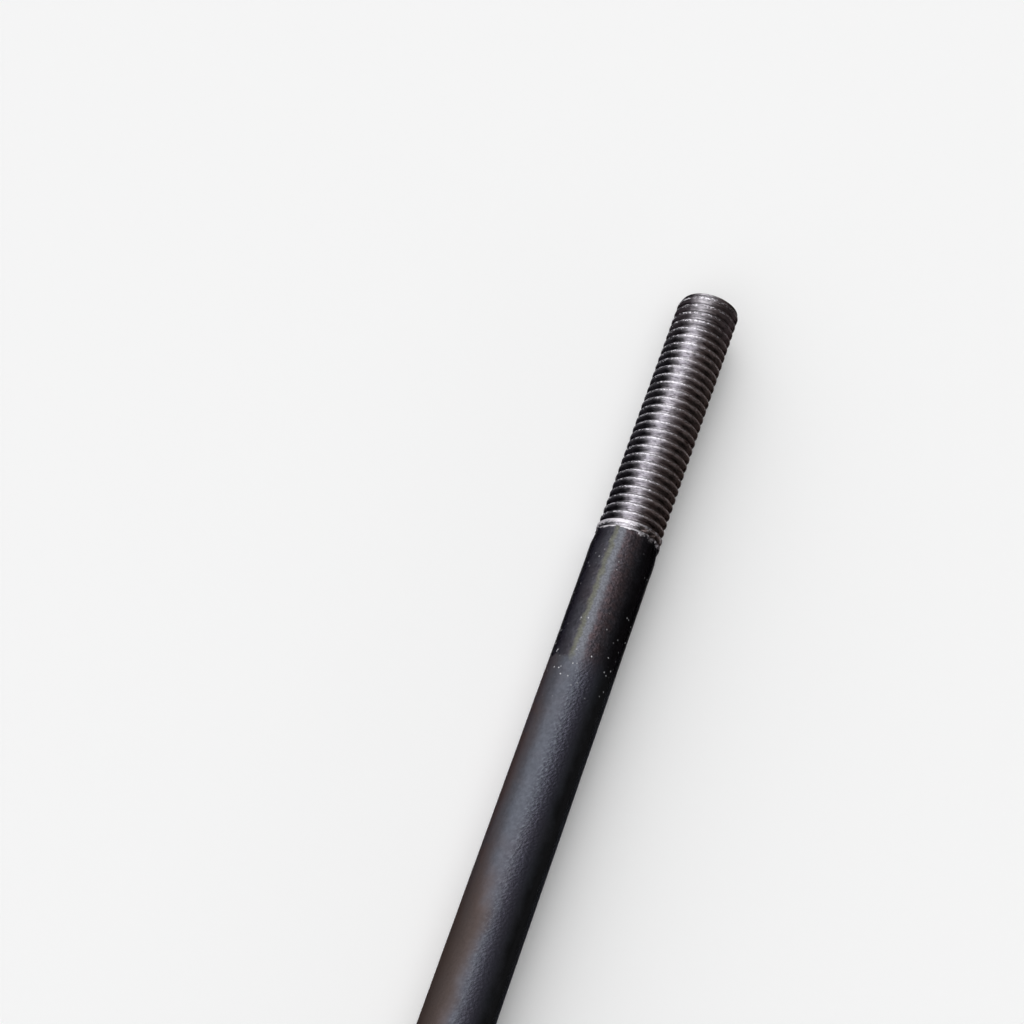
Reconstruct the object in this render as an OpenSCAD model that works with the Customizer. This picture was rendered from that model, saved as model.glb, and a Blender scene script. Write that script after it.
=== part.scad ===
// L-shaped anchor bolt: one round steel bar, threaded at one end and bent square at the other.
// It lies flat on its side: the bolt runs along Y with its threaded end at +Y, the foot points to +X,
// and the lowest line of the bar is at Z = 0. The origin is the middle of the footprint.

/* [Bar] */
// Length of the bolt, from its threaded end to the outer side of the foot
overall_len = 200; // [150:1:400]
// Width across the foot, from the outer side of the shank to the foot's cut end
foot_width = 60; // [45:1:120]
// Diameter of the plain bar
shank_d = 12.15; // [9:0.05:16]
// Radius of the inner side of the bend
bend_inner_r = 18; // [8:0.5:30]
// Bevel on the rim of the foot's cut end
foot_bevel = 0.4; // [0.1:0.1:1]

/* [Thread] */
// Diameter over the crests of the thread
thread_d = 11.8; // [9:0.05:16]
// Distance from one crest to the next
thread_pitch = 1.75; // [1:0.05:2.5]
// Length of the thread, with its run-out
thread_len = 52.5; // [25:0.5:80]
// Length over which the last grooves become shallow
runout_len = 2.6; // [1:0.1:6]
// Length of the bevel on the threaded end
end_bevel = 1.2; // [0.4:0.1:2]

/* [Hidden] */
$fn = 96;

// Basic form of a metric thread: 60 degree flanks, crests an eighth of the pitch wide
FLANK_SLOPE = tan(30);
CREST_SHARE = 1 / 8;
DEPTH_SHARE = 0.6134;
SHOULDER_ANGLE = 45;
STEEL_BLACK = [0.15, 0.15, 0.16];

shank_r = shank_d / 2;
thread_r = thread_d / 2;
bend_r = bend_inner_r + shank_r;
thread_depth = DEPTH_SHARE * thread_pitch;
crest_flat = CREST_SHARE * thread_pitch;
root_flat = thread_pitch - crest_flat - 2 * thread_depth * FLANK_SLOPE;
groove_count = floor(thread_len / thread_pitch);
shoulder_len = abs(shank_r - thread_r) / tan(SHOULDER_ANGLE);
clear_r = max(shank_r, thread_r) + end_bevel;

// Places of the bar in the frame
axis_x = shank_r - foot_width / 2;
end_y = overall_len / 2;
foot_y = shank_r - overall_len / 2;
bend_start_y = foot_y + bend_r;
foot_straight = foot_width - shank_r - bend_r;
straight_len = end_y - bend_start_y;

// Depth of a groove whose middle is at a distance from the threaded end
function groove_depth(at) = thread_depth * min(1, (thread_len - at) / runout_len);

// Outline of one groove: down its first flank, along its root, and up its second flank
function groove(at, depth) = [
    [thread_r, at - root_flat / 2 - depth * FLANK_SLOPE],
    [thread_r - depth, at - root_flat / 2],
    [thread_r - depth, at + root_flat / 2],
    [thread_r, at + root_flat / 2 + depth * FLANK_SLOPE]
];

// Half section of the straight bar: radius against distance from the threaded end
function bar_section() = concat(
    [[0, 0], [thread_r, 0]],
    [
        for (i = [0:groove_count - 1])
            let (at = (i + 0.5) * thread_pitch)
                each groove(at, groove_depth(at))
    ],
    [
        [thread_r, thread_len],
        [shank_r, thread_len + shoulder_len],
        [shank_r, straight_len],
        [0, straight_len]
    ]
);

// Half section of the space inside a square bevel that widens from one radius to another
function bevel_section(end_r, wide_r, length) = [
    [0, 0],
    [end_r, 0],
    [wide_r, wide_r - end_r],
    [wide_r, length],
    [0, length]
];

// Stands a half section on the bolt's axis, with its zero at the threaded end
module turned_from_end(section) {
    translate([axis_x, end_y, shank_r])
        rotate([90, 0, 0])
            rotate_extrude()
                polygon(section);
}

module threaded_bar() {
    intersection() {
        turned_from_end(bar_section());
        turned_from_end(bevel_section(thread_r - end_bevel, clear_r, straight_len));
    }
}

module bend() {
    translate([axis_x + bend_r, bend_start_y, shank_r])
        rotate([0, 0, 180])
            rotate_extrude(angle = 90)
                translate([bend_r, 0])
                    circle(r = shank_r);
}

module foot() {
    translate([axis_x + bend_r, foot_y, shank_r])
        rotate([0, 90, 0])
            rotate_extrude()
                polygon([
                    [0, 0],
                    [shank_r, 0],
                    [shank_r, foot_straight - foot_bevel],
                    [shank_r - foot_bevel, foot_straight],
                    [0, foot_straight]
                ]);
}

module anchor_bolt() {
    color(STEEL_BLACK)
        union() {
            threaded_bar();
            bend();
            foot();
        }
}

anchor_bolt();
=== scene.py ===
"""Looks of an L-shaped anchor bolt: a black steel bar, threaded at one end and bent square at the other.

The bolt lies along Y with its threaded end at +Y, and its foot points to +X. Lengths are in metres. Each
stretch of the bar is first modelled upright, with the threaded end's face at Z = 0 and the bar below it.
Angles there are in degrees about the Z axis, and -90 becomes the top of the lying bar.

In the material, places are in millimetres from the middle of the threaded end's face. Turns round the bar
are in degrees: 0 at its top, 90 on the side that the foot points to, and -90 on its other side, the left.
In a finish, ranges named side or round are turns, and those named along are distances from the threaded
end. Those named past_thread count from the thread's end, and those of crests, flanks and roots are heights
over the crests.
"""

import logging
import math
from collections.abc import Callable, Iterator
from contextlib import contextmanager
from dataclasses import dataclass, field
from enum import Enum
from functools import partial, reduce

import bmesh
import bpy
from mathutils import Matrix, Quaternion, Vector, noise


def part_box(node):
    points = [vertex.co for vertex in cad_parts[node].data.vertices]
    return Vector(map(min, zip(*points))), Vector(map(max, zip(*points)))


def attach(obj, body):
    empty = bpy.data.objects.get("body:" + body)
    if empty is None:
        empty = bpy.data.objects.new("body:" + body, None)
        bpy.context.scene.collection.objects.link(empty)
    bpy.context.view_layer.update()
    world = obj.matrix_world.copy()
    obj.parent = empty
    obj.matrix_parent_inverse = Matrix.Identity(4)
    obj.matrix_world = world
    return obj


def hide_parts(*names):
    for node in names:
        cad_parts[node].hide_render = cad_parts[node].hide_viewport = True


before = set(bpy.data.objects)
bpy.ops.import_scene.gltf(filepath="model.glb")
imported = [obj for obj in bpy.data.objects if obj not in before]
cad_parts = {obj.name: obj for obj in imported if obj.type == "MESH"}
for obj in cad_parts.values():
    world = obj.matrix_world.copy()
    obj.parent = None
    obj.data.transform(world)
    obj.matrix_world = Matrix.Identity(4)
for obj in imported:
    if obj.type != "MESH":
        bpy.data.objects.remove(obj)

MM = 0.001
# Tolerances: of a cut, of the plane that a ring is in, and of points that become one
TOUCH = 0.0001 * MM
LEVEL = 10 * TOUCH
MERGE = 20 * TOUCH
QUARTER = math.pi / 2
FULL_TURN = 360.0
NODE = "anchor_bolt"
BODY = "root"

log = logging.getLogger("anchor_bolt")

Colour = tuple[float, float, float]
Piece = bpy.types.Object
Tree = bpy.types.NodeTree
Node = bpy.types.Node
Socket = bpy.types.NodeSocket
Input = float | tuple[float, ...] | Socket

BLACK: Colour = (0.0, 0.0, 0.0)
WHITE: Colour = (1.0, 1.0, 1.0)
EVEN = (1.0, 1.0, 1.0)


class Pick(Enum):
    """What a selection in edit mode is made of."""

    VERTICES = "VERT"
    EDGES = "EDGE"
    FACES = "FACE"


class Kind(Enum):
    """Kinds of socket on a node group."""

    VALUE = "NodeSocketFloat"
    VECTOR = "NodeSocketVector"
    COLOUR = "NodeSocketColor"


def rgba(colour: Colour | Socket) -> Input:
    """Adds a full alpha to a colour, and leaves a socket as it is."""
    return colour if isinstance(colour, Socket) else (*colour, 1.0)


def smooth_step(low: float, high: float, value: float) -> float:
    """Rises smoothly from 0 at low to 1 at high."""
    share = min(1.0, max(0.0, (value - low) / (high - low)))
    return share * share * (3 - 2 * share)


def angle_between(angle: float, other: float) -> float:
    """Gives how far one angle is past another, in degrees, the short way round."""
    half = FULL_TURN / 2
    return (angle - other + half) % FULL_TURN - half


@contextmanager
def editing(piece: Piece, pick: Pick = Pick.VERTICES) -> Iterator[None]:
    """Makes a piece the active object and holds it in edit mode with all of it selected.

    Args:
        piece: The mesh object to edit.
        pick: The kind of element that operators act on.
    """
    select_only(piece)
    bpy.ops.object.mode_set(mode="EDIT")
    bpy.ops.mesh.select_mode(type=pick.value)
    bpy.ops.mesh.select_all(action="SELECT")
    yield
    bpy.ops.object.mode_set(mode="OBJECT")


def select_only(piece: Piece) -> None:
    """Selects one object, makes it active and deselects the rest.

    Args:
        piece: The object to select.
    """
    bpy.ops.object.select_all(action="DESELECT")
    piece.select_set(True)
    bpy.context.view_layer.objects.active = piece


def select_edges(piece: Piece, test: Callable[[bmesh.types.BMEdge], bool]) -> None:
    """Selects the edges of the mesh in edit mode that pass a test, and nothing else.

    Args:
        piece: The object in edit mode.
        test: Says whether an edge is wanted.
    """
    bpy.ops.mesh.select_all(action="DESELECT")
    mesh = bmesh.from_edit_mesh(piece.data)
    for edge in mesh.edges:
        if test(edge):
            edge.select_set(True)
    bmesh.update_edit_mesh(piece.data)


def new_primitive(name: str, add: Callable[..., set[str]], **sizes: object) -> Piece:
    """Adds a primitive with nothing else selected.

    Args:
        name: The new object's name.
        add: The primitive's operator.
        sizes: The operator's own values.

    Returns:
        The new object.
    """
    bpy.ops.object.select_all(action="DESELECT")
    add(**sizes)
    piece = bpy.context.active_object
    piece.name = piece.data.name = name
    return piece


@dataclass
class ThreadForm:
    """A coarse right-hand thread with round, worn crests."""

    length: float = 52.5 * MM
    pitch: float = 1.75 * MM
    crest_r: float = 5.9 * MM
    depth_share: float = 0.6134
    half_turn: tuple[tuple[float, float], ...] = (
        (0.0, 0.0),
        (0.06, 0.028),
        (0.12, 0.125),
        (0.2, 0.34),
        (0.28, 0.585),
        (0.35, 0.8),
        (0.405, 0.925),
        (0.452, 0.988),
        (0.5, 1.0),
    )
    lead_in: float = 11 * MM
    lead_share: float = 0.34
    last_groove: float = 1.7 * MM
    faded_groove: float = 0.9 * MM
    faded_share: float = 0.4
    faded_power: int = 4
    bevel_slope: float = 0.33
    bevel_power: float = 1.3
    bevel_len: float = 1.6 * MM
    bevel_spread: float = 0.8 * MM
    bevel_angle: float = 161.0
    rim_loss: float = 1.1 * MM
    rim_len: float = 0.9 * MM
    rim_angle: float = -120.0
    wear: float = 0.05 * MM
    wear_len: float = 1.1 * MM
    wear_density: float = 4.0
    steps: int = 96
    spare_turns: int = 2
    start_angle: float = -123.0

    @property
    def depth(self) -> float:
        """Depth of a full groove."""
        return self.depth_share * self.pitch

    def outline(self) -> list[tuple[float, float]]:
        """Gives one turn's section, from one root to the next.

        Returns:
            Pairs of rise along the bar and share of the depth, from the bottom root to the top root.
        """
        rising = [(0.5 - at, share) for at, share in reversed(self.half_turn)]
        falling = [(0.5 + at, share) for at, share in self.half_turn[1:]]
        return [(at * self.pitch, share) for at, share in rising + falling]

    def groove(self, share: float, along: float, lip: float) -> float:
        """Gives how deep the grooves are at a place.

        Args:
            share: The clean section's share of the thread's depth there.
            along: Distance from the threaded end.
            lip: Distance of the collar's lower edge.

        Returns:
            The depth: low at the end, full along the thread, and a thin line across the collar.
        """
        led_in = self.lead_share + (1 - self.lead_share) * smooth_step(0, self.lead_in, along)
        fading = smooth_step(lip - self.last_groove, lip - self.faded_groove, along)
        line = self.faded_share * share**self.faded_power
        return self.depth * (led_in * share * (1 - fading) + line * fading)

    def bevelled(self, along: float, angle: float) -> float:
        """Gives the radius of the threaded end's worn bevel, which is longer on one side.

        Args:
            along: Distance from the threaded end.
            angle: Angle about the axis.

        Returns:
            The radius that the bevel leaves.
        """
        length = self.bevel_len + self.bevel_spread * math.cos(math.radians(angle - self.bevel_angle))
        short = max(0.0, 1 - max(0.0, along) / length)
        if short == 0:
            return math.inf
        rim = max(0.0, 1 - max(0.0, along) / self.rim_len) ** 2
        facing = (0.5 + 0.5 * math.cos(math.radians(angle - self.rim_angle))) ** 2
        bevel = self.bevel_slope * length * short**self.bevel_power
        return self.crest_r - bevel - self.rim_loss * rim * facing

    def worn(self, along: float, angle: float) -> float:
        """Gives how much the crests are worn at a place.

        Args:
            along: Distance from the threaded end.
            angle: Angle about the axis.

        Returns:
            The loss of radius.
        """
        turn = math.radians(angle)
        round_x, round_y = math.cos(turn) * self.wear_density, math.sin(turn) * self.wear_density
        return self.wear * (0.5 + noise.noise(Vector((round_x, round_y, along / self.wear_len))))


@dataclass
class Nick:
    """A blow or a worn place on the crests of the thread."""

    along: float
    angle: float
    width: float
    depth: float

    def bite(self, along: float, angle: float, radius: float) -> float:
        """Gives how far the nick lowers the surface at a place on the bar.

        Args:
            along: Distance from the threaded end.
            angle: Angle about the axis.
            radius: Radius of the bar, which turns the angle into a length.

        Returns:
            The loss of radius there.
        """
        turn = math.radians(angle_between(angle, self.angle)) * radius
        reach = math.hypot(turn, along - self.along) / self.width
        return self.depth * math.exp(-reach * reach)


@dataclass
class Burr:
    """A torn place where the collar's lower edge hangs down, or is broken away."""

    angle: float
    width: float
    reach: float

    def shift(self, angle: float) -> float:
        """Gives how far the burr moves the collar's edge at an angle."""
        turn = angle_between(angle, self.angle) / self.width
        return self.reach * math.exp(-turn * turn)


@dataclass
class RimWaves:
    """Ragged waves of the collar's lower edge, read from a noise along a circle."""

    density: float
    level: float
    reach: float

    def shift(self, angle: float) -> float:
        """Gives how far the waves move the collar's edge at an angle.

        Args:
            angle: Angle about the axis.

        Returns:
            The shift along the bar.
        """
        turn = math.radians(angle)
        place = Vector((math.cos(turn) * self.density, math.sin(turn) * self.density, self.level))
        return self.reach * noise.noise(place)


@dataclass
class AnchorBolt:
    """The whole bolt: threaded stretch, shank, bend and foot of one bar."""

    bar_r: float
    length: float
    foot_width: float
    bend_inner_r: float = 18 * MM
    foot_bevel: float = 0.4 * MM
    thread: ThreadForm = field(default_factory=ThreadForm)
    collar_r: float = 6.06 * MM
    collar_rise: float = 3.4 * MM
    collar_len: float = 1.9 * MM
    collar_spared: float = 0.6
    lip_rise: float = 0.2 * MM
    lip_len: float = 0.14 * MM
    neck_loss: float = 0.25 * MM
    neck_len: float = 3.2 * MM
    tail: float = 4.35 * MM
    sides: int = 96
    ring_gap: float = 0.55 * MM
    stretch_rings: int = 80
    smooth_angle: float = 50.0
    rolling_marks: tuple[tuple[str, float, float], ...] = (
        ("long_waves", 7 * MM, 0.05 * MM),
        ("scale_lumps", 1.6 * MM, 0.03 * MM),
    )
    lip_edge: tuple[RimWaves | Burr, ...] = (
        RimWaves(3, 4.2, 0.25 * MM),
        RimWaves(12, 1.7, 0.25 * MM),
        Burr(-164, 5, 0.2 * MM),
        Burr(-140, 4, -0.15 * MM),
        Burr(-118, 4, 0.15 * MM),
        Burr(-104, 3, -0.25 * MM),
        Burr(-97, 4, 0.35 * MM),
        Burr(-86, 3, -0.2 * MM),
        Burr(-76, 4, 0.8 * MM),
        Burr(-66, 3, -0.2 * MM),
        Burr(-54, 4, 0.8 * MM),
        Burr(-40, 5, -0.4 * MM),
        Burr(20, 6, 0.4 * MM),
        Burr(75, 5, -0.3 * MM),
        Burr(130, 6, 0.3 * MM),
    )
    nicks: tuple[Nick, ...] = (
        Nick(3.4 * MM, -129, 0.7 * MM, 0.24 * MM),
        Nick(5.2 * MM, -127, 0.5 * MM, 0.14 * MM),
        Nick(12.3 * MM, -105, 0.35 * MM, 0.18 * MM),
        Nick(16.1 * MM, -122, 0.3 * MM, 0.2 * MM),
        Nick(19.8 * MM, -122, 0.3 * MM, 0.15 * MM),
        Nick(31.0 * MM, -70, 0.6 * MM, 0.2 * MM),
        Nick(9.0 * MM, 20, 0.9 * MM, 0.25 * MM),
        Nick(38.0 * MM, 130, 0.8 * MM, 0.2 * MM),
    )

    @classmethod
    def from_frame(cls) -> "AnchorBolt":
        """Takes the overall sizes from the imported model's box."""
        low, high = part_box(NODE)
        return cls(bar_r=(high.z - low.z) / 2, length=high.y - low.y, foot_width=high.x - low.x)

    @property
    def bend_r(self) -> float:
        """Radius of the bend at the middle of the bar."""
        return self.bend_inner_r + self.bar_r

    @property
    def straight(self) -> float:
        """Length of the straight stretch, from the threaded end to the bend."""
        return self.length - self.bar_r - self.bend_r

    @property
    def foot_straight(self) -> float:
        """Length of the foot past the bend."""
        return self.foot_width - self.bar_r - self.bend_r

    @property
    def end_place(self) -> Vector:
        """Middle of the threaded end's face, in the frame."""
        low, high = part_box(NODE)
        return Vector((low.x + self.bar_r, high.y, low.z + self.bar_r))

    def build(self) -> Piece:
        """Builds the whole bar and lays it in the frame.

        Returns:
            The finished mesh, with its place in its vertices.
        """
        threaded = self.build_thread()
        plain = self.build_plain_bar()
        self.roughen(plain)
        bolt = self.join(threaded, plain)
        self.lay_down(bolt)
        return bolt

    def dress(self, piece: Piece) -> None:
        """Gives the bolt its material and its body.

        Args:
            piece: The finished bolt.
        """
        foot_end = (self.foot_width - self.bar_r) / MM
        piece.data.materials.clear()
        piece.data.materials.append(BlackSteel(self.end_place, foot_end, self.thread).make())
        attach(piece, BODY)
        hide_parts(NODE)

    def build_thread(self) -> Piece:
        """Builds the threaded stretch and the short collar below it, open at the lower end.

        Returns:
            The stretch, upright below Z = 0.
        """
        form = self.thread
        low = -form.length - self.tail
        outline = form.outline()
        piece = new_primitive("bolt_bar", bpy.ops.mesh.primitive_plane_add, size=form.pitch)
        with editing(piece):
            bpy.ops.mesh.merge(type="CENTER")
            first = Vector((form.crest_r - form.depth, 0, low - form.spare_turns * form.pitch))
            bpy.ops.transform.translate(value=first)
            for (at, share), (next_at, next_share) in zip(outline, outline[1:]):
                step = (form.depth * (share - next_share), 0, next_at - at)
                bpy.ops.mesh.extrude_region_move(TRANSFORM_OT_translate={"value": step})
        bpy.ops.object.modifier_add(type="SCREW")
        screw = piece.modifiers[-1]
        screw.axis = "Z"
        screw.angle = math.tau
        screw.screw_offset = form.pitch
        screw.iterations = math.ceil(-low / form.pitch) + 2 * form.spare_turns
        screw.steps = screw.render_steps = form.steps
        screw.use_smooth_shade = True
        bpy.ops.object.modifier_apply(modifier=screw.name)
        with editing(piece):
            turn = -math.radians(form.start_angle)
            bpy.ops.transform.rotate(value=turn, orient_axis="Z", center_override=(0, 0, 0))
            bpy.ops.mesh.remove_doubles(threshold=MERGE)
        self.wear_thread(piece)
        with editing(piece, Pick.FACES):
            cut = {"plane_no": (0, 0, 1), "threshold": TOUCH}
            bpy.ops.mesh.bisect(plane_co=(0, 0, 0), use_fill=True, clear_outer=True, **cut)
            bpy.ops.mesh.select_all(action="SELECT")
            bpy.ops.mesh.bisect(plane_co=(0, 0, low), clear_inner=True, **cut)
        return piece

    def wear_thread(self, piece: Piece) -> None:
        """Moves the thread's vertices to its bevelled end, its run-out, its collar and its worn crests.

        Args:
            piece: The endless thread, upright on the Z axis.
        """
        form = self.thread
        for vertex in piece.data.vertices:
            x, y, z = vertex.co
            radius = math.hypot(x, y)
            share = (form.crest_r - radius) / form.depth
            angle = math.degrees(math.atan2(y, x))
            new = self.thread_radius(share, -z, angle)
            vertex.co = (x * new / radius, y * new / radius, z)
        piece.data.update()

    def thread_radius(self, share: float, along: float, angle: float) -> float:
        """Gives the worn surface's radius at a place on the threaded stretch.

        Args:
            share: Share of the thread's depth that the clean section has there.
            along: Distance from the threaded end.
            angle: Angle about the axis.

        Returns:
            The radius there.
        """
        form = self.thread
        lip = form.length - self.lip_rise + sum(part.shift(angle) for part in self.lip_edge)
        rise = smooth_step(lip - self.collar_rise, lip - self.collar_len, along)
        full = form.crest_r + (self.collar_r - form.crest_r) * rise
        crest = full - form.worn(along, angle) * (1 - self.collar_spared * rise)
        crest -= sum(nick.bite(along, angle, form.crest_r) for nick in self.nicks)
        floor = full - form.groove(share, along, lip)
        past = smooth_step(lip, lip + self.lip_len, along)
        neck = self.bar_r - self.neck_loss * (1 - smooth_step(lip, lip + self.neck_len, along))
        radius = min(crest, floor) * (1 - past) + neck * past
        return min(radius, form.bevelled(along, angle), self.bar_r)

    def build_plain_bar(self) -> Piece:
        """Builds the shank below the collar, the bend and the foot, open at the upper end.

        Returns:
            The plain bar, upright, with its foot towards +X.
        """
        top = -self.thread.length - self.tail - self.ring_gap
        sizes = {"vertices": self.sides, "radius": self.bar_r, "location": (0, 0, top)}
        piece = new_primitive("plain_bar", bpy.ops.mesh.primitive_circle_add, **sizes)
        bpy.ops.object.transform_apply(location=True, rotation=True, scale=True)
        with editing(piece, Pick.EDGES):
            shank = self.straight + top
            parts = math.ceil(shank / self.ring_gap / self.stretch_rings)
            for _ in range(parts):
                self.pull(piece, Vector((0, 0, -shank / parts)))
            arc_rings = round(self.bend_r * QUARTER / self.ring_gap)
            centre = (self.bend_r, 0, -self.straight)
            bpy.ops.mesh.spin(steps=arc_rings, angle=QUARTER, center=centre, axis=(0, 1, 0))
            self.pull(piece, Vector((self.foot_straight - self.foot_bevel, 0, 0)))
            bpy.ops.mesh.extrude_region_move(TRANSFORM_OT_translate={"value": (self.foot_bevel, 0, 0)})
            flat = (self.bar_r - self.foot_bevel) / self.bar_r
            bpy.ops.transform.resize(value=(1, flat, flat))
            bpy.ops.mesh.edge_face_add()
            bpy.ops.mesh.remove_doubles(threshold=MERGE)
            bpy.ops.mesh.select_all(action="SELECT")
            bpy.ops.mesh.normals_make_consistent(inside=False)
        return piece

    def pull(self, piece: Piece, way: Vector) -> None:
        """Extrudes the selected ring along a straight line and divides the new walls into rings.

        Args:
            piece: The object in edit mode, with its end ring selected.
            way: The straight line from the old ring to the new one.
        """
        bpy.ops.mesh.extrude_region_move(TRANSFORM_OT_translate={"value": way})
        mesh = bmesh.from_edit_mesh(piece.data)
        ring = {vertex for edge in mesh.edges if edge.select for vertex in edge.verts}
        middle = sum((vertex.co for vertex in ring), Vector()) / len(ring)
        line = way.normalized()
        walls = [edge for edge in mesh.edges if len(ring.intersection(edge.verts)) == 1]
        for edge in mesh.edges:
            edge.select_set(False)
        for edge in walls:
            edge.select_set(True)
        bmesh.update_edit_mesh(piece.data)
        bpy.ops.mesh.subdivide(number_cuts=max(1, round(way.length / self.ring_gap) - 1))
        select_edges(piece, lambda edge: all(abs((v.co - middle).dot(line)) < LEVEL for v in edge.verts))

    def roughen(self, piece: Piece) -> None:
        """Gives the plain bar the slight waves of rolled steel, all of them inward.

        Args:
            piece: The plain bar.
        """
        for name, size, height in self.rolling_marks:
            clouds = bpy.data.textures.new(name, "CLOUDS")
            clouds.noise_scale = size
            select_only(piece)
            bpy.ops.object.modifier_add(type="DISPLACE")
            waves = piece.modifiers[-1]
            waves.texture = clouds
            waves.texture_coords = "LOCAL"
            waves.mid_level = 1.0
            waves.strength = height
            bpy.ops.object.modifier_apply(modifier=waves.name)

    def join(self, threaded: Piece, plain: Piece) -> Piece:
        """Joins the two stretches into one closed bar.

        Args:
            threaded: The threaded stretch.
            plain: The plain bar.

        Returns:
            The closed bar.
        """
        select_only(threaded)
        plain.select_set(True)
        bpy.ops.object.join()
        with editing(threaded, Pick.EDGES):
            select_edges(threaded, lambda edge: edge.is_boundary)
            bpy.ops.mesh.bridge_edge_loops()
            bpy.ops.mesh.select_all(action="SELECT")
            bpy.ops.mesh.normals_make_consistent(inside=False)
        return threaded

    def lay_down(self, piece: Piece) -> None:
        """Turns the upright bar to lie along Y and puts it in its place in the frame.

        Args:
            piece: The closed bar.
        """
        piece.rotation_euler = (-QUARTER, 0, 0)
        piece.location = self.end_place
        select_only(piece)
        bpy.ops.object.transform_apply(location=True, rotation=True, scale=True)
        bpy.ops.object.shade_smooth_by_angle(angle=math.radians(self.smooth_angle))


class Sheet:
    """A node tree that is filled in with short calls."""

    def __init__(self, tree: Tree) -> None:
        """Takes the tree to fill in."""
        self.tree = tree

    @classmethod
    def holding(cls, socket: Socket) -> "Sheet":
        """Gives the sheet that a socket is on."""
        return cls(socket.id_data)

    def add(self, kind: str, inputs: dict[str | int, Input] | None = None, **settings: object) -> Node:
        """Adds a node.

        Args:
            kind: The node's type name.
            inputs: Values or sockets for its inputs.
            settings: Its own settings, which are set before its inputs.

        Returns:
            The new node.
        """
        node = self.tree.nodes.new(kind)
        for name, value in settings.items():
            setattr(node, name, value)
        for key, value in (inputs or {}).items():
            if isinstance(value, Socket):
                self.tree.links.new(value, node.inputs[key])
            else:
                node.inputs[key].default_value = value
        return node

    def math(self, operation: str, first: Input, second: Input = 0.0) -> Socket:
        """Joins two values with a Math node."""
        return self.add("ShaderNodeMath", {0: first, 1: second}, operation=operation).outputs[0]

    def times(self, *values: Input) -> Socket:
        """Multiplies values."""
        return reduce(partial(self.math, "MULTIPLY"), values)

    def plus(self, *values: Input) -> Socket:
        """Adds values."""
        return reduce(partial(self.math, "ADD"), values)

    def rest(self, share: Socket) -> Socket:
        """Gives what a share leaves of 1."""
        return self.math("SUBTRACT", 1.0, share)

    def swing(self, share: Socket, reach: Input) -> Socket:
        """Turns a share between 0 and 1 into a shift to either side of 0."""
        return self.times(self.plus(share, -0.5), reach)

    def turn(self, across: Socket, high: Socket) -> Socket:
        """Gives the turn of a place from the top towards +X, in degrees."""
        return self.math("DEGREES", self.math("ARCTAN2", across, high))

    def step(self, value: Input, low: Input, high: Input, start: Input = 0.0, end: Input = 1.0) -> Socket:
        """Maps a value smoothly from start at low to end at high."""
        inputs = {"Value": value, "From Min": low, "From Max": high, "To Min": start, "To Max": end}
        return self.add("ShaderNodeMapRange", inputs, interpolation_type="SMOOTHSTEP").outputs["Result"]

    def blend(self, share: Input, first: Input, second: Input) -> Socket:
        """Mixes two values."""
        return self.add("ShaderNodeMix", {0: share, 2: first, 3: second}, data_type="FLOAT").outputs[0]

    def tint(self, share: Input, below: Colour | Socket, above: Colour | Socket) -> Socket:
        """Mixes two colours."""
        inputs = {0: share, 6: rgba(below), 7: rgba(above)}
        return self.add("ShaderNodeMix", inputs, data_type="RGBA").outputs[2]

    def paint(self, colour: Socket, *layers: tuple[Input, Colour | Socket]) -> Socket:
        """Lays colours over one another.

        Args:
            colour: The lowest colour.
            layers: Pairs of share and colour, from the lowest up.

        Returns:
            The colour that shows.
        """
        for share, above in layers:
            colour = self.tint(share, colour, above)
        return colour

    def grain(self, place: Socket, scale: Input, detail: float, rough: float) -> Socket:
        """Gives a noise value at a place."""
        inputs = {"Vector": place, "Scale": scale, "Detail": detail, "Roughness": rough}
        return self.add("ShaderNodeTexNoise", inputs).outputs["Fac"]


def new_group(name: str, inputs: dict[str, Kind], outputs: dict[str, Kind]) -> tuple[Sheet, Node, Node]:
    """Starts a shader node group.

    Args:
        name: The group's name.
        inputs: Its input sockets.
        outputs: Its output sockets.

    Returns:
        The group's sheet, and the nodes that hold its inputs and its outputs.
    """
    tree = bpy.data.node_groups.new(name, "ShaderNodeTree")
    for way, sockets in (("INPUT", inputs), ("OUTPUT", outputs)):
        for label, kind in sockets.items():
            tree.interface.new_socket(label, in_out=way, socket_type=kind.value)
    sheet = Sheet(tree)
    return sheet, sheet.add("NodeGroupInput"), sheet.add("NodeGroupOutput")


def steel_skin_group() -> Tree:
    """Makes the mottled skin that every stretch of the bar has, with its own values.

    Returns:
        The group.
    """
    sheet, start, end = new_group(
        "steel_skin",
        {
            "Place": Kind.VECTOR,
            "Base": Kind.COLOUR,
            "Stain": Kind.COLOUR,
            "Stain Scale": Kind.VALUE,
            "Stain Amount": Kind.VALUE,
            "Shade Scale": Kind.VALUE,
            "Shade Depth": Kind.VALUE,
            "Roughness": Kind.VALUE,
            "Roughness Spread": Kind.VALUE,
        },
        {"Colour": Kind.COLOUR, "Roughness": Kind.VALUE},
    )
    given = start.outputs
    stain = sheet.grain(given["Place"], given["Stain Scale"], detail=3.0, rough=0.55)
    stained = sheet.times(sheet.step(stain, low=0.42, high=0.68), given["Stain Amount"])
    shade = sheet.grain(given["Place"], given["Shade Scale"], detail=4.0, rough=0.6)
    dark = sheet.times(sheet.step(shade, low=0.3, high=0.7), given["Shade Depth"])
    colour = sheet.paint(given["Base"], (stained, given["Stain"]), (dark, BLACK))
    roughness = sheet.plus(given["Roughness"], sheet.swing(shade, given["Roughness Spread"]))
    sheet.tree.links.new(colour, end.inputs["Colour"])
    sheet.tree.links.new(roughness, end.inputs["Roughness"])
    return sheet.tree


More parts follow.
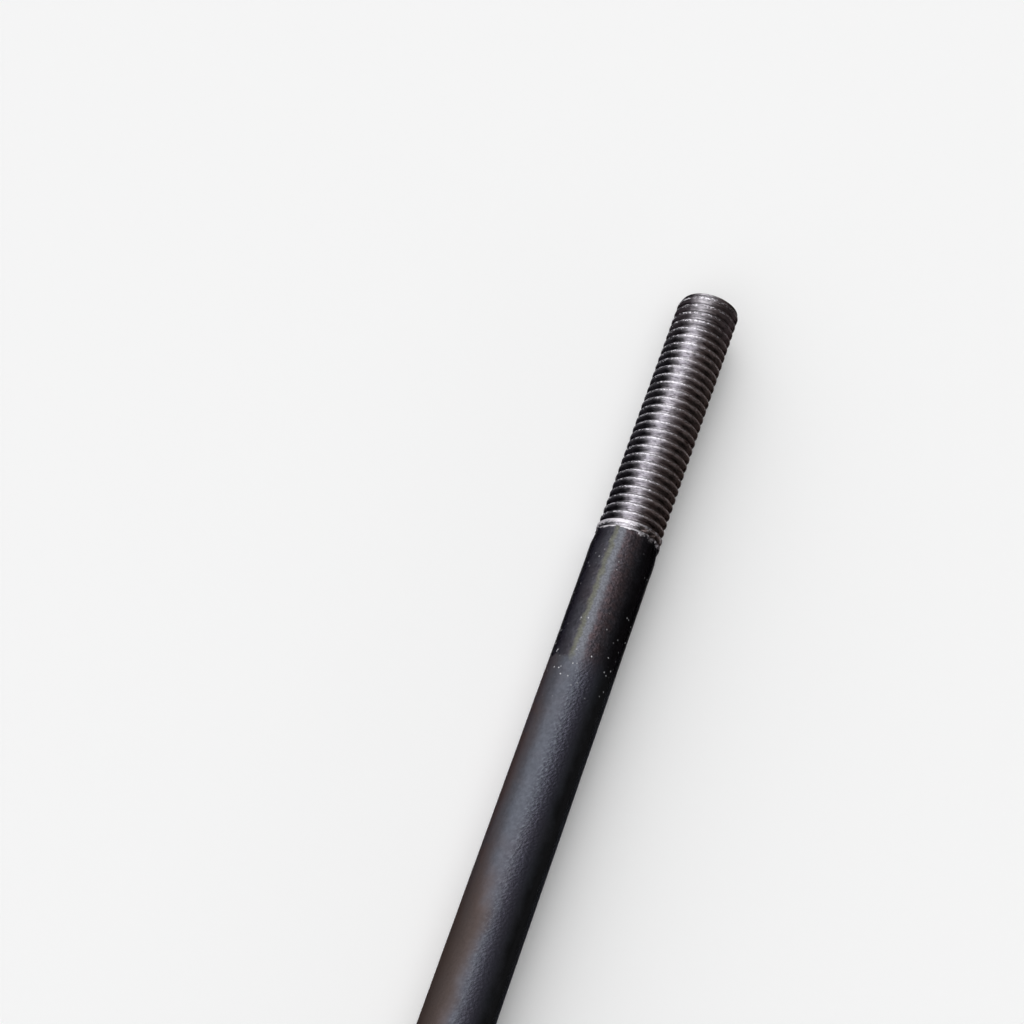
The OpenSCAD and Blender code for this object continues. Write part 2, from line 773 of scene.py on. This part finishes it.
def specks_group() -> Tree:
    """Makes scattered round specks.

    Returns:
        The group, whose Mask is 1 on a speck.
    """
    sheet, start, end = new_group(
        "specks",
        {"Place": Kind.VECTOR, "Scale": Kind.VALUE, "Size": Kind.VALUE, "Amount": Kind.VALUE},
        {"Mask": Kind.VALUE},
    )
    inputs = {"Vector": start.outputs["Place"], "Scale": start.outputs["Scale"], "Randomness": 1.0}
    cells = sheet.add("ShaderNodeTexVoronoi", inputs)
    near = sheet.step(cells.outputs["Distance"], start.outputs["Size"], 0.0)
    pick = sheet.add("ShaderNodeSeparateColor", {0: cells.outputs["Color"]}).outputs[0]
    chosen = sheet.math("LESS_THAN", pick, start.outputs["Amount"])
    sheet.tree.links.new(sheet.times(near, chosen), end.inputs["Mask"])
    return sheet.tree


@dataclass(frozen=True)
class Ramp:
    """A smooth change from start to end, as a value goes from low to high."""

    low: float
    high: float
    start: float = 0.0
    end: float = 1.0

    def of(self, value: Socket) -> Socket:
        """Gives what the ramp makes of a value."""
        return Sheet.holding(value).step(value, self.low, self.high, self.start, self.end)


@dataclass(frozen=True)
class Band:
    """A soft band: its peak between full and fade, and 0 outside start and end."""

    start: float
    full: float
    fade: float
    end: float
    peak: float = 1.0

    def of(self, value: Socket) -> Socket:
        """Gives the band's share at a value.

        Args:
            value: The value.

        Returns:
            The share.
        """
        sheet = Sheet.holding(value)
        rising = sheet.step(value, self.start, self.full, 0.0, self.peak)
        return sheet.times(rising, sheet.step(value, self.end, self.fade))


@dataclass(frozen=True)
class Grain:
    """A noise, as it is or as the patches that a ramp makes of it."""

    scale: float
    detail: float = 2.0
    rough: float = 0.5
    ramp: Ramp | None = None
    stretch: tuple[float, float, float] = EVEN

    def of(self, place: Socket) -> Socket:
        """Gives the noise's value at a place.

        Args:
            place: Places on the bar, in millimetres.

        Returns:
            A value between 0 and 1, or the ramp's value.
        """
        sheet = Sheet.holding(place)
        if self.stretch != EVEN:
            place = sheet.add("ShaderNodeMapping", {"Vector": place, "Scale": self.stretch}).outputs["Vector"]
        value = sheet.grain(place, self.scale, self.detail, self.rough)
        return self.ramp.of(value) if self.ramp else value


@dataclass(frozen=True)
class Surface:
    """The bar's surface: the sheet and groups that finishes use, and where a point of it is.

    past is its distance past the thread's end, rise its height over the crests, and wound its place when
    a whole turn of the thread is at one level. The turn jumps from -180 to 180 under the bar, so what is
    on the left side alone fades out there.
    """

    sheet: Sheet
    skin: Tree
    specks: Tree
    point: Socket
    across: Socket
    along: Socket
    past: Socket
    radius: Socket
    rise: Socket
    turn: Socket
    wound: Socket
    under_side: Ramp = Ramp(-165.0, -125.0)

    @classmethod
    def on_bar(cls, sheet: Sheet, end: Vector, form: ThreadForm) -> "Surface":
        """Measures from the middle of the threaded end's face, from the thread's end and from its crests.

        Args:
            sheet: The material's sheet.
            end: The middle of the threaded end's face, in the frame.
            form: The thread, whose pitch the wound place follows round the bar.

        Returns:
            The surface.
        """
        inputs = {
            "Vector": sheet.add("ShaderNodeTexCoord").outputs["Object"],
            "Location": tuple(-end / MM),
            "Scale": (1 / MM, 1 / MM, 1 / MM),
        }
        point = sheet.add("ShaderNodeMapping", inputs).outputs["Vector"]
        across, back, high = sheet.add("ShaderNodeSeparateXYZ", {0: point}).outputs
        along = sheet.times(back, -1.0)
        past = sheet.plus(along, -form.length / MM)
        radius = sheet.math("SQRT", sheet.plus(sheet.times(across, across), sheet.times(high, high)))
        rise = sheet.plus(radius, -form.crest_r / MM)
        turn = sheet.turn(across, high)
        level = sheet.plus(along, sheet.times(turn, form.pitch / MM / FULL_TURN))
        wound = sheet.add("ShaderNodeCombineXYZ", {0: across, 1: level, 2: high}).outputs[0]
        groups = (steel_skin_group(), specks_group())
        return cls(sheet, *groups, point, across, along, past, radius, rise, turn, wound)

    def wander(self, grain: Grain, reach: float) -> Socket:
        """Gives the turn with a drift from a noise, so that a side's edge is ragged."""
        return self.sheet.plus(self.turn, self.sheet.swing(grain.of(self.point), reach))

    def above(self) -> Socket:
        """Gives 0 under the left half of the bar, and 1 on the rest of it."""
        return self.under_side.of(self.turn)

    def dots(self, place: Socket, scale: float, size: float, amount: Input) -> Socket:
        """Gives scattered specks: 1 on a speck, 0 beside it."""
        inputs = {"Place": place, "Scale": scale, "Size": size, "Amount": amount}
        return self.sheet.add("ShaderNodeGroup", inputs, node_tree=self.specks).outputs["Mask"]

    def slanted(self, angle: float, width: float, length: float) -> Socket:
        """Gives a place on the unrolled bar, for a pattern whose marks are drawn out along a slanting line.

        Args:
            angle: The line's angle from the bar's axis.
            width: Size of a mark across the line, in millimetres.
            length: Size of a mark along the line, in millimetres.

        Returns:
            The place, in marks.
        """
        sheet = self.sheet
        arc = sheet.times(self.turn, self.radius, math.radians(1))
        back = sheet.times(self.along, -1.0)
        flat = sheet.add("ShaderNodeCombineXYZ", {0: arc, 1: back, 2: 0.0}).outputs[0]
        inputs = {"Vector": flat, "Rotation": (0.0, 0.0, math.radians(angle)), "Scale": (width, length, 1.0)}
        return sheet.add("ShaderNodeMapping", inputs, vector_type="TEXTURE").outputs["Vector"]


@dataclass(frozen=True)
class Coat:
    """The finish of one stretch: its colour, roughness and relief in millimetres."""

    colour: Socket
    roughness: Socket
    height: Socket

    def over(self, below: "Coat", share: Socket) -> "Coat":
        """Lays this coat over another one.

        Args:
            below: The coat below.
            share: How much of this coat shows.

        Returns:
            The mixed coat.
        """
        sheet = Sheet.holding(share)
        return Coat(
            sheet.tint(share, below.colour, self.colour),
            sheet.blend(share, below.roughness, self.roughness),
            sheet.blend(share, below.height, self.height),
        )


@dataclass(frozen=True)
class Skin:
    """The mottled ground of one stretch of the bar."""

    base: Colour
    stain: Colour
    stain_scale: float
    stain_amount: float
    shade_scale: float
    shade_depth: float
    roughness: float
    roughness_spread: float

    def lay(self, on: Surface, place: Socket) -> tuple[Socket, Socket]:
        """Places the skin group with this skin's values.

        Args:
            on: The bar's surface.
            place: Places on the bar, in millimetres.

        Returns:
            The ground's colour and its roughness.
        """
        inputs = {
            "Place": place,
            "Base": rgba(self.base),
            "Stain": rgba(self.stain),
            "Stain Scale": self.stain_scale,
            "Stain Amount": self.stain_amount,
            "Shade Scale": self.shade_scale,
            "Shade Depth": self.shade_depth,
            "Roughness": self.roughness,
            "Roughness Spread": self.roughness_spread,
        }
        laid = on.sheet.add("ShaderNodeGroup", inputs, node_tree=on.skin)
        return laid.outputs["Colour"], laid.outputs["Roughness"]


@dataclass(frozen=True)
class ThreadFinish:
    """Grey thread with worn crests, roots darkened by dirt and painted shade, a painted highlight band on its
    top left, painted shade on its left, and painted brown and black shade on its right.
    """

    skin: Skin = Skin(
        base=(0.48, 0.46, 0.5),
        stain=(0.34, 0.32, 0.34),
        stain_scale=0.35,
        stain_amount=0.5,
        shade_scale=1.1,
        shade_depth=0.3,
        roughness=0.36,
        roughness_spread=0.2,
    )
    # colour of the darker roots: dirt and painted shade in the roots
    darkening: Colour = (0.2, 0.18, 0.19)
    # worn bright steel for the scuff marks, and the pale colour of the painted highlight band and painted
    # glints
    bare_and_highlight: Colour = (0.78, 0.76, 0.81)
    # painted highlight on the flanks inside the lit band
    flank_highlight: Colour = (0.9, 0.87, 0.92)
    # painted shade down the thread's left side: dark roots, paler crests
    left_shade_root: Colour = (0.024, 0.022, 0.026)
    left_shade_crest: Colour = (0.07, 0.067, 0.074)
    # painted shade in brown down the thread's right side, crests a little darker than roots
    right_shade_root: Colour = (0.19, 0.15, 0.145)
    right_shade_crest: Colour = (0.172, 0.14, 0.136)
    # painted black shade on the thread's right side and under its left half, thinner on the crests
    black_shade_root: Colour = (0.028, 0.021, 0.019)
    end_grime: Colour = (0.046, 0.035, 0.039)
    wander: Grain = Grain(0.9)
    wander_reach: float = 20.0
    # painted shade: where the thread's left side is darkened
    left_shade_side: Ramp = Ramp(-42.0, -74.0)
    # painted shade: where the thread's right side is browned and darkened
    right_shade_side: Ramp = Ramp(-38.0, 2.0)
    black_shade_side: Ramp = Ramp(-2.0, 26.0)
    # painted highlight: the band along the thread's top left that gets the pale colour
    highlight_side: Band = Band(-58.0, -42.0, -34.0, -18.0)
    lit_side: Band = Band(-66.0, -46.0, -36.0, -6.0)
    broad_crest: Ramp = Ramp(-0.4, -0.03)
    thin_crest: Ramp = Ramp(-0.13, -0.02)
    flank: Band = Band(-1.05, -0.8, -0.3, -0.08, peak=0.3)
    # darker roots: dirt and painted shade
    root: Ramp = Ramp(-0.5, -1.0, 0.0, 0.3)
    lumps: Grain = Grain(2.4, 2.0, 0.6)
    lump_rise: float = 0.2
    lump_height: float = 0.05
    highlight_lumps: Ramp = Ramp(0.35, 0.6, 0.0, 0.4)
    black_shade_cover: Ramp = Ramp(1.0, 0.0, 0.1, 0.85)
    grime_along: Ramp = Ramp(13.0, 4.0, 0.0, 0.6)
    grime_cover: Ramp = Ramp(0.0, 1.0, 1.0, 0.8)
    streaks: Grain = Grain(1.8, 3.0, 0.65, stretch=(0.45, 3.2, 0.45))
    streak_shade: Ramp = Ramp(0.52, 0.36, 0.0, 0.55)
    streak_height: float = 0.09
    # scuff marks of worn bright steel on the crests near the end, more on the left, where they stand as
    # painted glints
    scuffs_and_glints: Grain = Grain(2.0, 2.0, 0.7, Ramp(0.52, 0.6), (1.0, 3.0, 1.0))
    scuffs_along: Ramp = Ramp(30.0, 8.0, 0.8, 1.0)
    scuffs_round: Ramp = Ramp(20.0, -30.0, 0.25, 1.0)
    # painted glints: bright specks on the crests by the highlight, with small bumps
    spark_scale: float = 1.7
    spark_size: float = 0.36
    sparks_along: Ramp = Ramp(26.0, 6.0, 0.4, 0.7)
    spark_height: float = 0.05
    sparks_round: Ramp = Ramp(-10.0, -36.0)
    grit: Grain = Grain(5.0)
    grit_height: float = 0.04

    def coat(self, on: Surface) -> Coat:
        """Makes the thread's coat.

        Args:
            on: The bar's surface.

        Returns:
            The coat.
        """
        sheet = on.sheet
        ground, roughness = self.skin.lay(on, on.wound)
        turn = on.wander(self.wander, self.wander_reach)
        lumps = self.lumps.of(on.wound)
        streaks = self.streaks.of(on.wound)
        crest = sheet.plus(on.rise, sheet.swing(lumps, self.lump_rise))
        broad = self.broad_crest.of(crest)
        thin = self.thin_crest.of(crest)
        # painted highlight on the flanks, in the lit band only
        flank = sheet.times(self.flank.of(on.rise), self.lit_side.of(turn))
        highlight = self.highlight_side.of(turn)
        # painted black shade on the right and under the left half
        black = sheet.math("MAXIMUM", self.black_shade_side.of(turn), sheet.rest(on.above()))
        black = sheet.times(black, self.black_shade_cover.of(thin))
        # dirt near the threaded end, less of it inside the painted highlight
        darkening = sheet.times(self.grime_along.of(on.along), self.grime_cover.of(highlight))
        scuffs_and_glints = sheet.times(self.scuffs_and_glints.of(on.wound), thin, self.scuffs_along.of(on.along))
        scuffs_and_glints = sheet.times(scuffs_and_glints, self.scuffs_round.of(turn))
        amount = self.sparks_along.of(on.along)
        # painted glints on the crests near the highlight
        sparks = on.dots(on.wound, self.spark_scale, self.spark_size, amount)
        sparks = sheet.times(sparks, broad, self.sparks_round.of(turn))
        colour = sheet.paint(
            ground,
            (self.root.of(on.rise), self.darkening),
            # painted highlight band, broken up by the lumps
            (sheet.times(highlight, self.highlight_lumps.of(lumps)), self.bare_and_highlight),
            (flank, self.flank_highlight),
            # painted shade on the left side
            (self.left_shade_side.of(turn), sheet.tint(broad, self.left_shade_root, self.left_shade_crest)),
            # painted shade in brown on the right side
            (self.right_shade_side.of(turn), sheet.tint(thin, self.right_shade_root, self.right_shade_crest)),
            (black, self.black_shade_root),
            (darkening, self.end_grime),
            (self.streak_shade.of(streaks), BLACK),
            (scuffs_and_glints, self.bare_and_highlight),
            (sparks, self.bare_and_highlight),
        )
        height = sheet.plus(
            sheet.times(streaks, self.streak_height),
            sheet.times(lumps, self.lump_height),
            sheet.times(self.grit.of(on.point), self.grit_height),
            sheet.times(sparks, self.spark_height),
        )
        return Coat(colour, roughness, height)


@dataclass(frozen=True)
class CollarFinish:
    """The bright rings below the thread, brightest on their left, where a highlight is painted."""

    dull: Colour = (0.09, 0.08, 0.085)
    shiny_and_highlight: Colour = (0.5, 0.48, 0.51)
    crest: Ramp = Ramp(0.05, 0.11)
    past_thread: Band = Band(-3.2, -2.4, 0.9, 1.2)
    lumps: Grain = Grain(2.0, 3.0, 0.6)
    lump_height: float = 0.08
    # painted highlight: more of the bright colour towards the left
    highlight_left_side: Ramp = Ramp(16.0, -34.0, 0.0, 0.26)
    bright: Ramp = Ramp(0.46, 0.68)
    roughness: Ramp = Ramp(0.3, 0.7, 0.5, 0.36)

    def share(self, on: Surface) -> Socket:
        """Gives 1 on the rings, and 0 on the rest of the bar."""
        return on.sheet.times(self.crest.of(on.rise), self.past_thread.of(on.past))

    def coat(self, on: Surface) -> Coat:
        """Makes the rings' coat.

        Args:
            on: The bar's surface.

        Returns:
            The coat.
        """
        sheet = on.sheet
        lumps = self.lumps.of(on.point)
        bright = self.bright.of(sheet.plus(lumps, self.highlight_left_side.of(on.turn)))
        colour = sheet.tint(bright, self.dull, self.shiny_and_highlight)
        return Coat(colour, self.roughness.of(lumps), sheet.times(lumps, self.lump_height))


@dataclass(frozen=True)
class BlackShadeSide:
    """The painted black shade on the right of the neck and the shank, with soft ragged edges."""

    wander: Grain = Grain(0.25, 3.0, 0.6)
    wander_reach: float = 22.9
    side: Band = Band(-2.0, 24.0, 30.0, 74.0)
    along: Ramp = Ramp(177.0, 143.0)

    def share(self, on: Surface) -> Socket:
        """Gives 1 on the painted black shade, and 0 on the rest of the bar."""
        turn = on.wander(self.wander, self.wander_reach)
        return on.sheet.times(self.side.of(turn), self.along.of(on.along))


@dataclass(frozen=True)
class NeckFinish:
    """The smooth neck under a film of oil, with a highlight painted as olive and slate lines, painted shade
    on its left and right, and a plum side.
    """

    skin: Skin = Skin(
        base=(0.056, 0.055, 0.066),
        stain=(0.05, 0.04, 0.046),
        stain_scale=0.22,
        stain_amount=0.5,
        shade_scale=0.7,
        shade_depth=0.3,
        roughness=0.33,
        roughness_spread=0.12,
    )
    # painted highlight, tinted olive and slate, along the neck's top left
    olive: Colour = (0.095, 0.096, 0.078)
    slate: Colour = (0.107, 0.111, 0.127)
    plum: Colour = (0.07, 0.053, 0.058)
    # painted shade down the neck's left side
    left_shade: Colour = (0.03, 0.028, 0.036)
    # painted black shade on the neck's right side
    black: Colour = (0.013, 0.012, 0.013)
    wander: Grain = Grain(0.6, 4.0, 0.7)
    wander_reach: float = 17.2
    olive_highlight_side: Band = Band(-57.0, -50.0, -48.0, -42.0, peak=0.8)
    slate_highlight_side: Band = Band(-52.0, -43.0, -37.0, -27.0, peak=0.9)
    plum_side: Band = Band(-40.0, -32.0, -10.0, 8.0)
    left_shade_side: Ramp = Ramp(-58.0, -84.0, 0.0, 0.7)
    black_shade_side: BlackShadeSide = BlackShadeSide()
    blotches: Grain = Grain(0.8, 3.0, 0.6, Ramp(0.38, 0.6, 0.35, 1.0))
    pepper: Grain = Grain(2.6, 2.0, 0.6, Ramp(0.4, 0.6))
    pepper_round: Ramp = Ramp(-58.0, -44.0, 0.1, 0.28)
    dents: Grain = Grain(0.8, 1.0)
    dent_height: float = 0.08
    pits: Grain = Grain(2.2)
    pit_height: float = 0.09

    def coat(self, on: Surface) -> Coat:
        """Makes the neck's coat.

        Args:
            on: The bar's surface.

        Returns:
            The coat.
        """
        sheet = on.sheet
        ground, roughness = self.skin.lay(on, on.point)
        turn = on.wander(self.wander, self.wander_reach)
        blotches = self.blotches.of(on.point)
        pepper = self.pepper.of(on.point)
        colour = sheet.paint(
            ground,
            (sheet.times(self.plum_side.of(turn), blotches), self.plum),
            # painted highlight in slate and olive
            (self.slate_highlight_side.of(turn), self.slate),
            (self.olive_highlight_side.of(turn), self.olive),
            # painted shade on the left, not under the bar
            (sheet.times(self.left_shade_side.of(turn), on.above()), self.left_shade),
            (sheet.times(pepper, self.pepper_round.of(turn)), BLACK),
            (self.black_shade_side.share(on), self.black),
        )
        dents = sheet.times(self.dents.of(on.point), self.dent_height)
        pits = sheet.times(self.pits.of(on.point), self.pit_height)
        return Coat(colour, roughness, sheet.plus(dents, pits))


@dataclass(frozen=True)
class ShankFinish:
    """Blue-grey scale with ripples on its shoulder, their shade and highlight painted, rusted brown patches
    and painted reflection down its left side, and painted violet and black shade on its right.
    """

    skin: Skin = Skin(
        base=(0.074, 0.079, 0.095),
        stain=(0.075, 0.07, 0.082),
        stain_scale=0.12,
        stain_amount=0.5,
        shade_scale=1.3,
        shade_depth=0.2,
        roughness=0.42,
        roughness_spread=0.15,
    )
    # brown down the left side: rusted patches and painted reflection, darker further down
    rust_and_reflection: Colour = (0.08, 0.061, 0.061)
    deep_rust_and_reflection: Colour = (0.06, 0.046, 0.042)
    # violet tint with painted shade on the right shoulder of the highlight
    violet: Colour = (0.055, 0.05, 0.072)
    # painted shade in the ripples' hollows and painted highlight on their ridges, on the highlight's shoulder
    ripple_shade: Colour = (0.03, 0.028, 0.042)
    ripple_highlight: Colour = (0.13, 0.14, 0.165)
    # painted black shade on the shank's right side
    black: Colour = (0.02, 0.02, 0.021)
    wander: Grain = Grain(0.1, 3.0, 0.6)
    wander_reach: float = 91.7
    rust_drift_along: Ramp = Ramp(140.0, 84.0, -17.2, 14.3)
    rust_and_reflection_side: Ramp = Ramp(-40.0, -80.0)
    rust_along: Ramp = Ramp(176.0, 150.0)
    rust_patches: Grain = Grain(0.2, 3.0, 0.6, Ramp(0.4, 0.62, 0.5, 1.0))
    deep_along: Ramp = Ramp(106.0, 130.0)
    deep_share: float = 0.9
    deep_roughness: float = 0.14
    black_shade_side: BlackShadeSide = BlackShadeSide()
    violet_shade_side: Band = Band(-30.0, -12.0, -4.0, 12.0, peak=0.5)
    ripples: Grain = Grain(1.0)
    ripple_angle: float = -45.0
    ripple_width: float = 0.36
    ripple_len: float = 0.66
    ripple_shade_share: Ramp = Ramp(0.55, 0.38, 0.0, 0.5)
    ripple_highlight_share: Ramp = Ramp(0.56, 0.68, 0.0, 0.5)
    ripple_height: float = 0.04
    shoulder_side: Band = Band(-48.0, -26.0, -12.0, 10.0)
    shoulder_along: Ramp = Ramp(100.0, 130.0, 1.0, 0.6)
    shoulder_height: float = 0.12

    def coat(self, on: Surface) -> Coat:
        """Makes the shank's coat.

        Args:
            on: The bar's surface.

        Returns:
            The coat.
        """
        sheet = on.sheet
        ground, roughness = self.skin.lay(on, on.point)
        edge = sheet.plus(on.wander(self.wander, self.wander_reach), self.rust_drift_along.of(on.along))
        # brown on the left: rusted patches and painted reflection
        rust_and_reflection_share = sheet.times(self.rust_and_reflection_side.of(edge), on.above(), self.rust_along.of(on.along))
        deep = sheet.times(rust_and_reflection_share, self.deep_along.of(on.along))
        place = on.slanted(self.ripple_angle, self.ripple_width, self.ripple_len)
        ripples = self.ripples.of(place)
        shoulder = sheet.times(self.shoulder_side.of(on.turn), self.shoulder_along.of(on.along))
        colour = sheet.paint(
            ground,
            (sheet.times(rust_and_reflection_share, self.rust_patches.of(on.point)), self.rust_and_reflection),
            (sheet.times(deep, self.deep_share), self.deep_rust_and_reflection),
            (self.black_shade_side.share(on), self.black),
            # painted shade and painted highlight of the ripples
            (sheet.times(shoulder, self.ripple_shade_share.of(ripples)), self.ripple_shade),
            (sheet.times(shoulder, self.ripple_highlight_share.of(ripples)), self.ripple_highlight),
            # violet tint and painted shade right of the highlight
            (self.violet_shade_side.of(on.turn), self.violet),
        )
        height = sheet.plus(sheet.times(shoulder, self.shoulder_height), self.ripple_height)
        roughness = sheet.plus(roughness, sheet.times(deep, self.deep_roughness))
        return Coat(colour, roughness, sheet.times(ripples, height))


@dataclass(frozen=True)
class SawnFinish:
    """The dull brown faces of the two sawn ends."""

    skin: Skin = Skin(
        base=(0.16, 0.145, 0.14),
        stain=(0.07, 0.05, 0.04),
        stain_scale=0.3,
        stain_amount=0.8,
        shade_scale=1.5,
        shade_depth=0.3,
        roughness=0.5,
        roughness_spread=0.2,
    )
    marks: Grain = Grain(1.0, 3.0, 0.6, stretch=(0.2, 0.2, 4.0))
    mark_height: float = 0.12
    end_reach: float = 0.004
    foot_reach: float = 0.12

    def share(self, on: Surface, foot_end: float) -> Socket:
        """Gives 1 on the two end faces, and 0 on the rest of the bar."""
        foot = on.sheet.math("GREATER_THAN", on.across, foot_end - self.foot_reach)
        return on.sheet.math("MAXIMUM", on.sheet.math("LESS_THAN", on.along, self.end_reach), foot)

    def coat(self, on: Surface) -> Coat:
        """Makes the end faces' coat.

        Args:
            on: The bar's surface.

        Returns:
            The coat.
        """
        height = on.sheet.times(self.marks.of(on.point), self.mark_height)
        return Coat(*self.skin.lay(on, on.point), height)


@dataclass(frozen=True)
class Speckles:
    """Pale specks on the neck, thickest where the oil ends."""

    colour: Colour = (0.5, 0.5, 0.52)
    scale: float = 1.1
    size: float = 0.25
    amount: float = 0.6
    height: float = 0.06
    patches: Grain = Grain(0.35, 1.0, ramp=Ramp(0.48, 0.56))
    along: Band = Band(50.0, 70.0, 80.0, 88.0)

    def share(self, on: Surface) -> Socket:
        """Gives 1 on a speck, and 0 on the rest of the bar."""
        dots = on.dots(on.point, self.scale, self.size, self.amount)
        return on.sheet.times(dots, self.patches.of(on.point), self.along.of(on.along))


@dataclass(frozen=True)
class BlackSteel:
    """The bar's material: each stretch's finish, and where it goes over into the next."""

    end: Vector
    foot_end: float
    form: ThreadForm
    thread: ThreadFinish = ThreadFinish()
    collar: CollarFinish = CollarFinish()
    neck: NeckFinish = NeckFinish()
    shank: ShankFinish = ShankFinish()
    sawn: SawnFinish = SawnFinish()
    speckles: Speckles = Speckles()
    specular_tint: Colour = (0.3, 0.3, 0.3)
    neck_past_thread: Ramp = Ramp(-0.6, -0.4)
    oiled_len: float = 78.3
    oil_waves: Grain = Grain(0.5)
    oil_wave_reach: float = 3.0
    oil_blur_round: Ramp = Ramp(-62.0, -34.0, 0.4, 3.5)

    def past_oil(self, on: Surface) -> Socket:
        """Gives 1 below the edge of the oil, which is sharper on the bar's left.

        Args:
            on: The bar's surface.

        Returns:
            The share.
        """
        sheet = on.sheet
        waves = sheet.swing(self.oil_waves.of(on.point), self.oil_wave_reach)
        blur = self.oil_blur_round.of(on.turn)
        return sheet.step(sheet.plus(on.along, -self.oiled_len, waves), sheet.times(blur, -1.0), blur)

    def make(self) -> bpy.types.Material:
        """Builds the material.

        Returns:
            The material.
        """
        material = bpy.data.materials.new("black_steel")
        material.use_nodes = True
        sheet = Sheet(material.node_tree)
        sheet.tree.nodes.clear()
        on = Surface.on_bar(sheet, self.end, self.form)
        coat = self.thread.coat(on)
        coat = self.neck.coat(on).over(coat, self.neck_past_thread.of(on.past))
        coat = self.collar.coat(on).over(coat, self.collar.share(on))
        coat = self.shank.coat(on).over(coat, self.past_oil(on))
        coat = self.sawn.coat(on).over(coat, self.sawn.share(on, self.foot_end))
        specks = self.speckles.share(on)
        height = sheet.plus(coat.height, sheet.times(specks, self.speckles.height))
        bump = sheet.add("ShaderNodeBump", {"Height": height, "Strength": 1.0, "Distance": MM})
        inputs = {
            "Base Color": sheet.tint(specks, coat.colour, self.speckles.colour),
            "Roughness": coat.roughness,
            "Metallic": sheet.rest(specks),
            "Specular Tint": rgba(self.specular_tint),
            "Normal": bump.outputs[0],
        }
        steel = sheet.add("ShaderNodeBsdfPrincipled", inputs)
        sheet.add("ShaderNodeOutputMaterial", {"Surface": steel.outputs[0]})
        return material


@dataclass(frozen=True)
class Room:
    """The light: a wide soft window at the left, a sky that dims to the right, and a pale horizon.

    The window and the sky go by the turn of a way about the bar, the window's ends by how far the way
    points along the bar, and the horizon by how far it points up.
    """

    window: Band = Band(-104.0, -90.0, -34.0, -10.0, peak=1.9)
    window_ends: Ramp = Ramp(0.96, 0.84)
    sky: Ramp = Ramp(0.0, 45.0, 0.45, 0.12)
    horizon: Ramp = Ramp(0.22, 0.36, 0.9, 0.0)

    def build(self) -> None:
        """Makes the world."""
        world = bpy.data.worlds.new("studio")
        world.use_nodes = True
        bpy.context.scene.world = world
        sheet = Sheet(world.node_tree)
        sheet.tree.nodes.clear()
        way = sheet.add("ShaderNodeTexCoord").outputs["Generated"]
        across, back, high = sheet.add("ShaderNodeSeparateXYZ", {0: way}).outputs
        turn = sheet.turn(across, high)
        ends = self.window_ends.of(sheet.math("ABSOLUTE", back))
        strength = sheet.plus(self.sky.of(turn), sheet.times(self.window.of(turn), ends))
        strength = sheet.math("MAXIMUM", strength, self.horizon.of(high))
        light = sheet.add("ShaderNodeBackground", {"Color": rgba(WHITE), "Strength": strength})
        sheet.add("ShaderNodeOutputWorld", {"Surface": light.outputs[0]})


@dataclass
class Studio:
    """Plain pale floor, soft light, and the camera at the photograph's angle."""

    floor_size: float = 30.0
    floor_colour: Colour = (0.96, 0.96, 0.96)
    floor_roughness: float = 0.9
    floor_specular: float = 0.1
    room: Room = Room()
    camera_at: Vector = field(default_factory=lambda: Vector((-0.14959, -0.08422, 0.27522)))
    camera_aim: Vector = field(default_factory=lambda: Vector((-0.04665, 0.04169, 0.00602)))
    camera_roll: float = 64.81
    camera_lens: float = 63.3
    camera_near: float = 0.01

    def build(self) -> None:
        """Adds the floor, the world and the camera."""
        self.build_floor()
        self.room.build()
        self.build_camera()
        bpy.context.scene.view_settings.view_transform = "Standard"

    def build_floor(self) -> None:
        """Adds the floor that the bolt lies on."""
        floor = new_primitive("floor", bpy.ops.mesh.primitive_plane_add, size=self.floor_size)
        material = bpy.data.materials.new("pale_floor")
        material.use_nodes = True
        shader = material.node_tree.nodes["Principled BSDF"]
        shader.inputs["Base Color"].default_value = rgba(self.floor_colour)
        shader.inputs["Roughness"].default_value = self.floor_roughness
        shader.inputs["Specular IOR Level"].default_value = self.floor_specular
        floor.data.materials.append(material)

    def build_camera(self) -> None:
        """Adds the camera and makes it the scene's own."""
        data = bpy.data.cameras.new("camera")
        data.lens = self.camera_lens
        data.clip_start = self.camera_near
        camera = bpy.data.objects.new("camera", data)
        camera.location = self.camera_at
        level = (self.camera_aim - self.camera_at).to_track_quat("-Z", "Y")
        camera.rotation_mode = "QUATERNION"
        camera.rotation_quaternion = level @ Quaternion((0, 0, 1), math.radians(self.camera_roll))
        bpy.context.scene.collection.objects.link(camera)
        bpy.context.scene.camera = camera


def main() -> None:
    """Builds the studio and the bolt, and reports each piece."""
    logging.basicConfig(level=logging.INFO, format="%(message)s")
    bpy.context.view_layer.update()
    Studio().build()
    bolt = AnchorBolt.from_frame()
    piece = bolt.build()
    bolt.dress(piece)
    log.info("%s: %d faces", piece.name, len(piece.data.polygons))


if __name__ == "__main__":
    main()
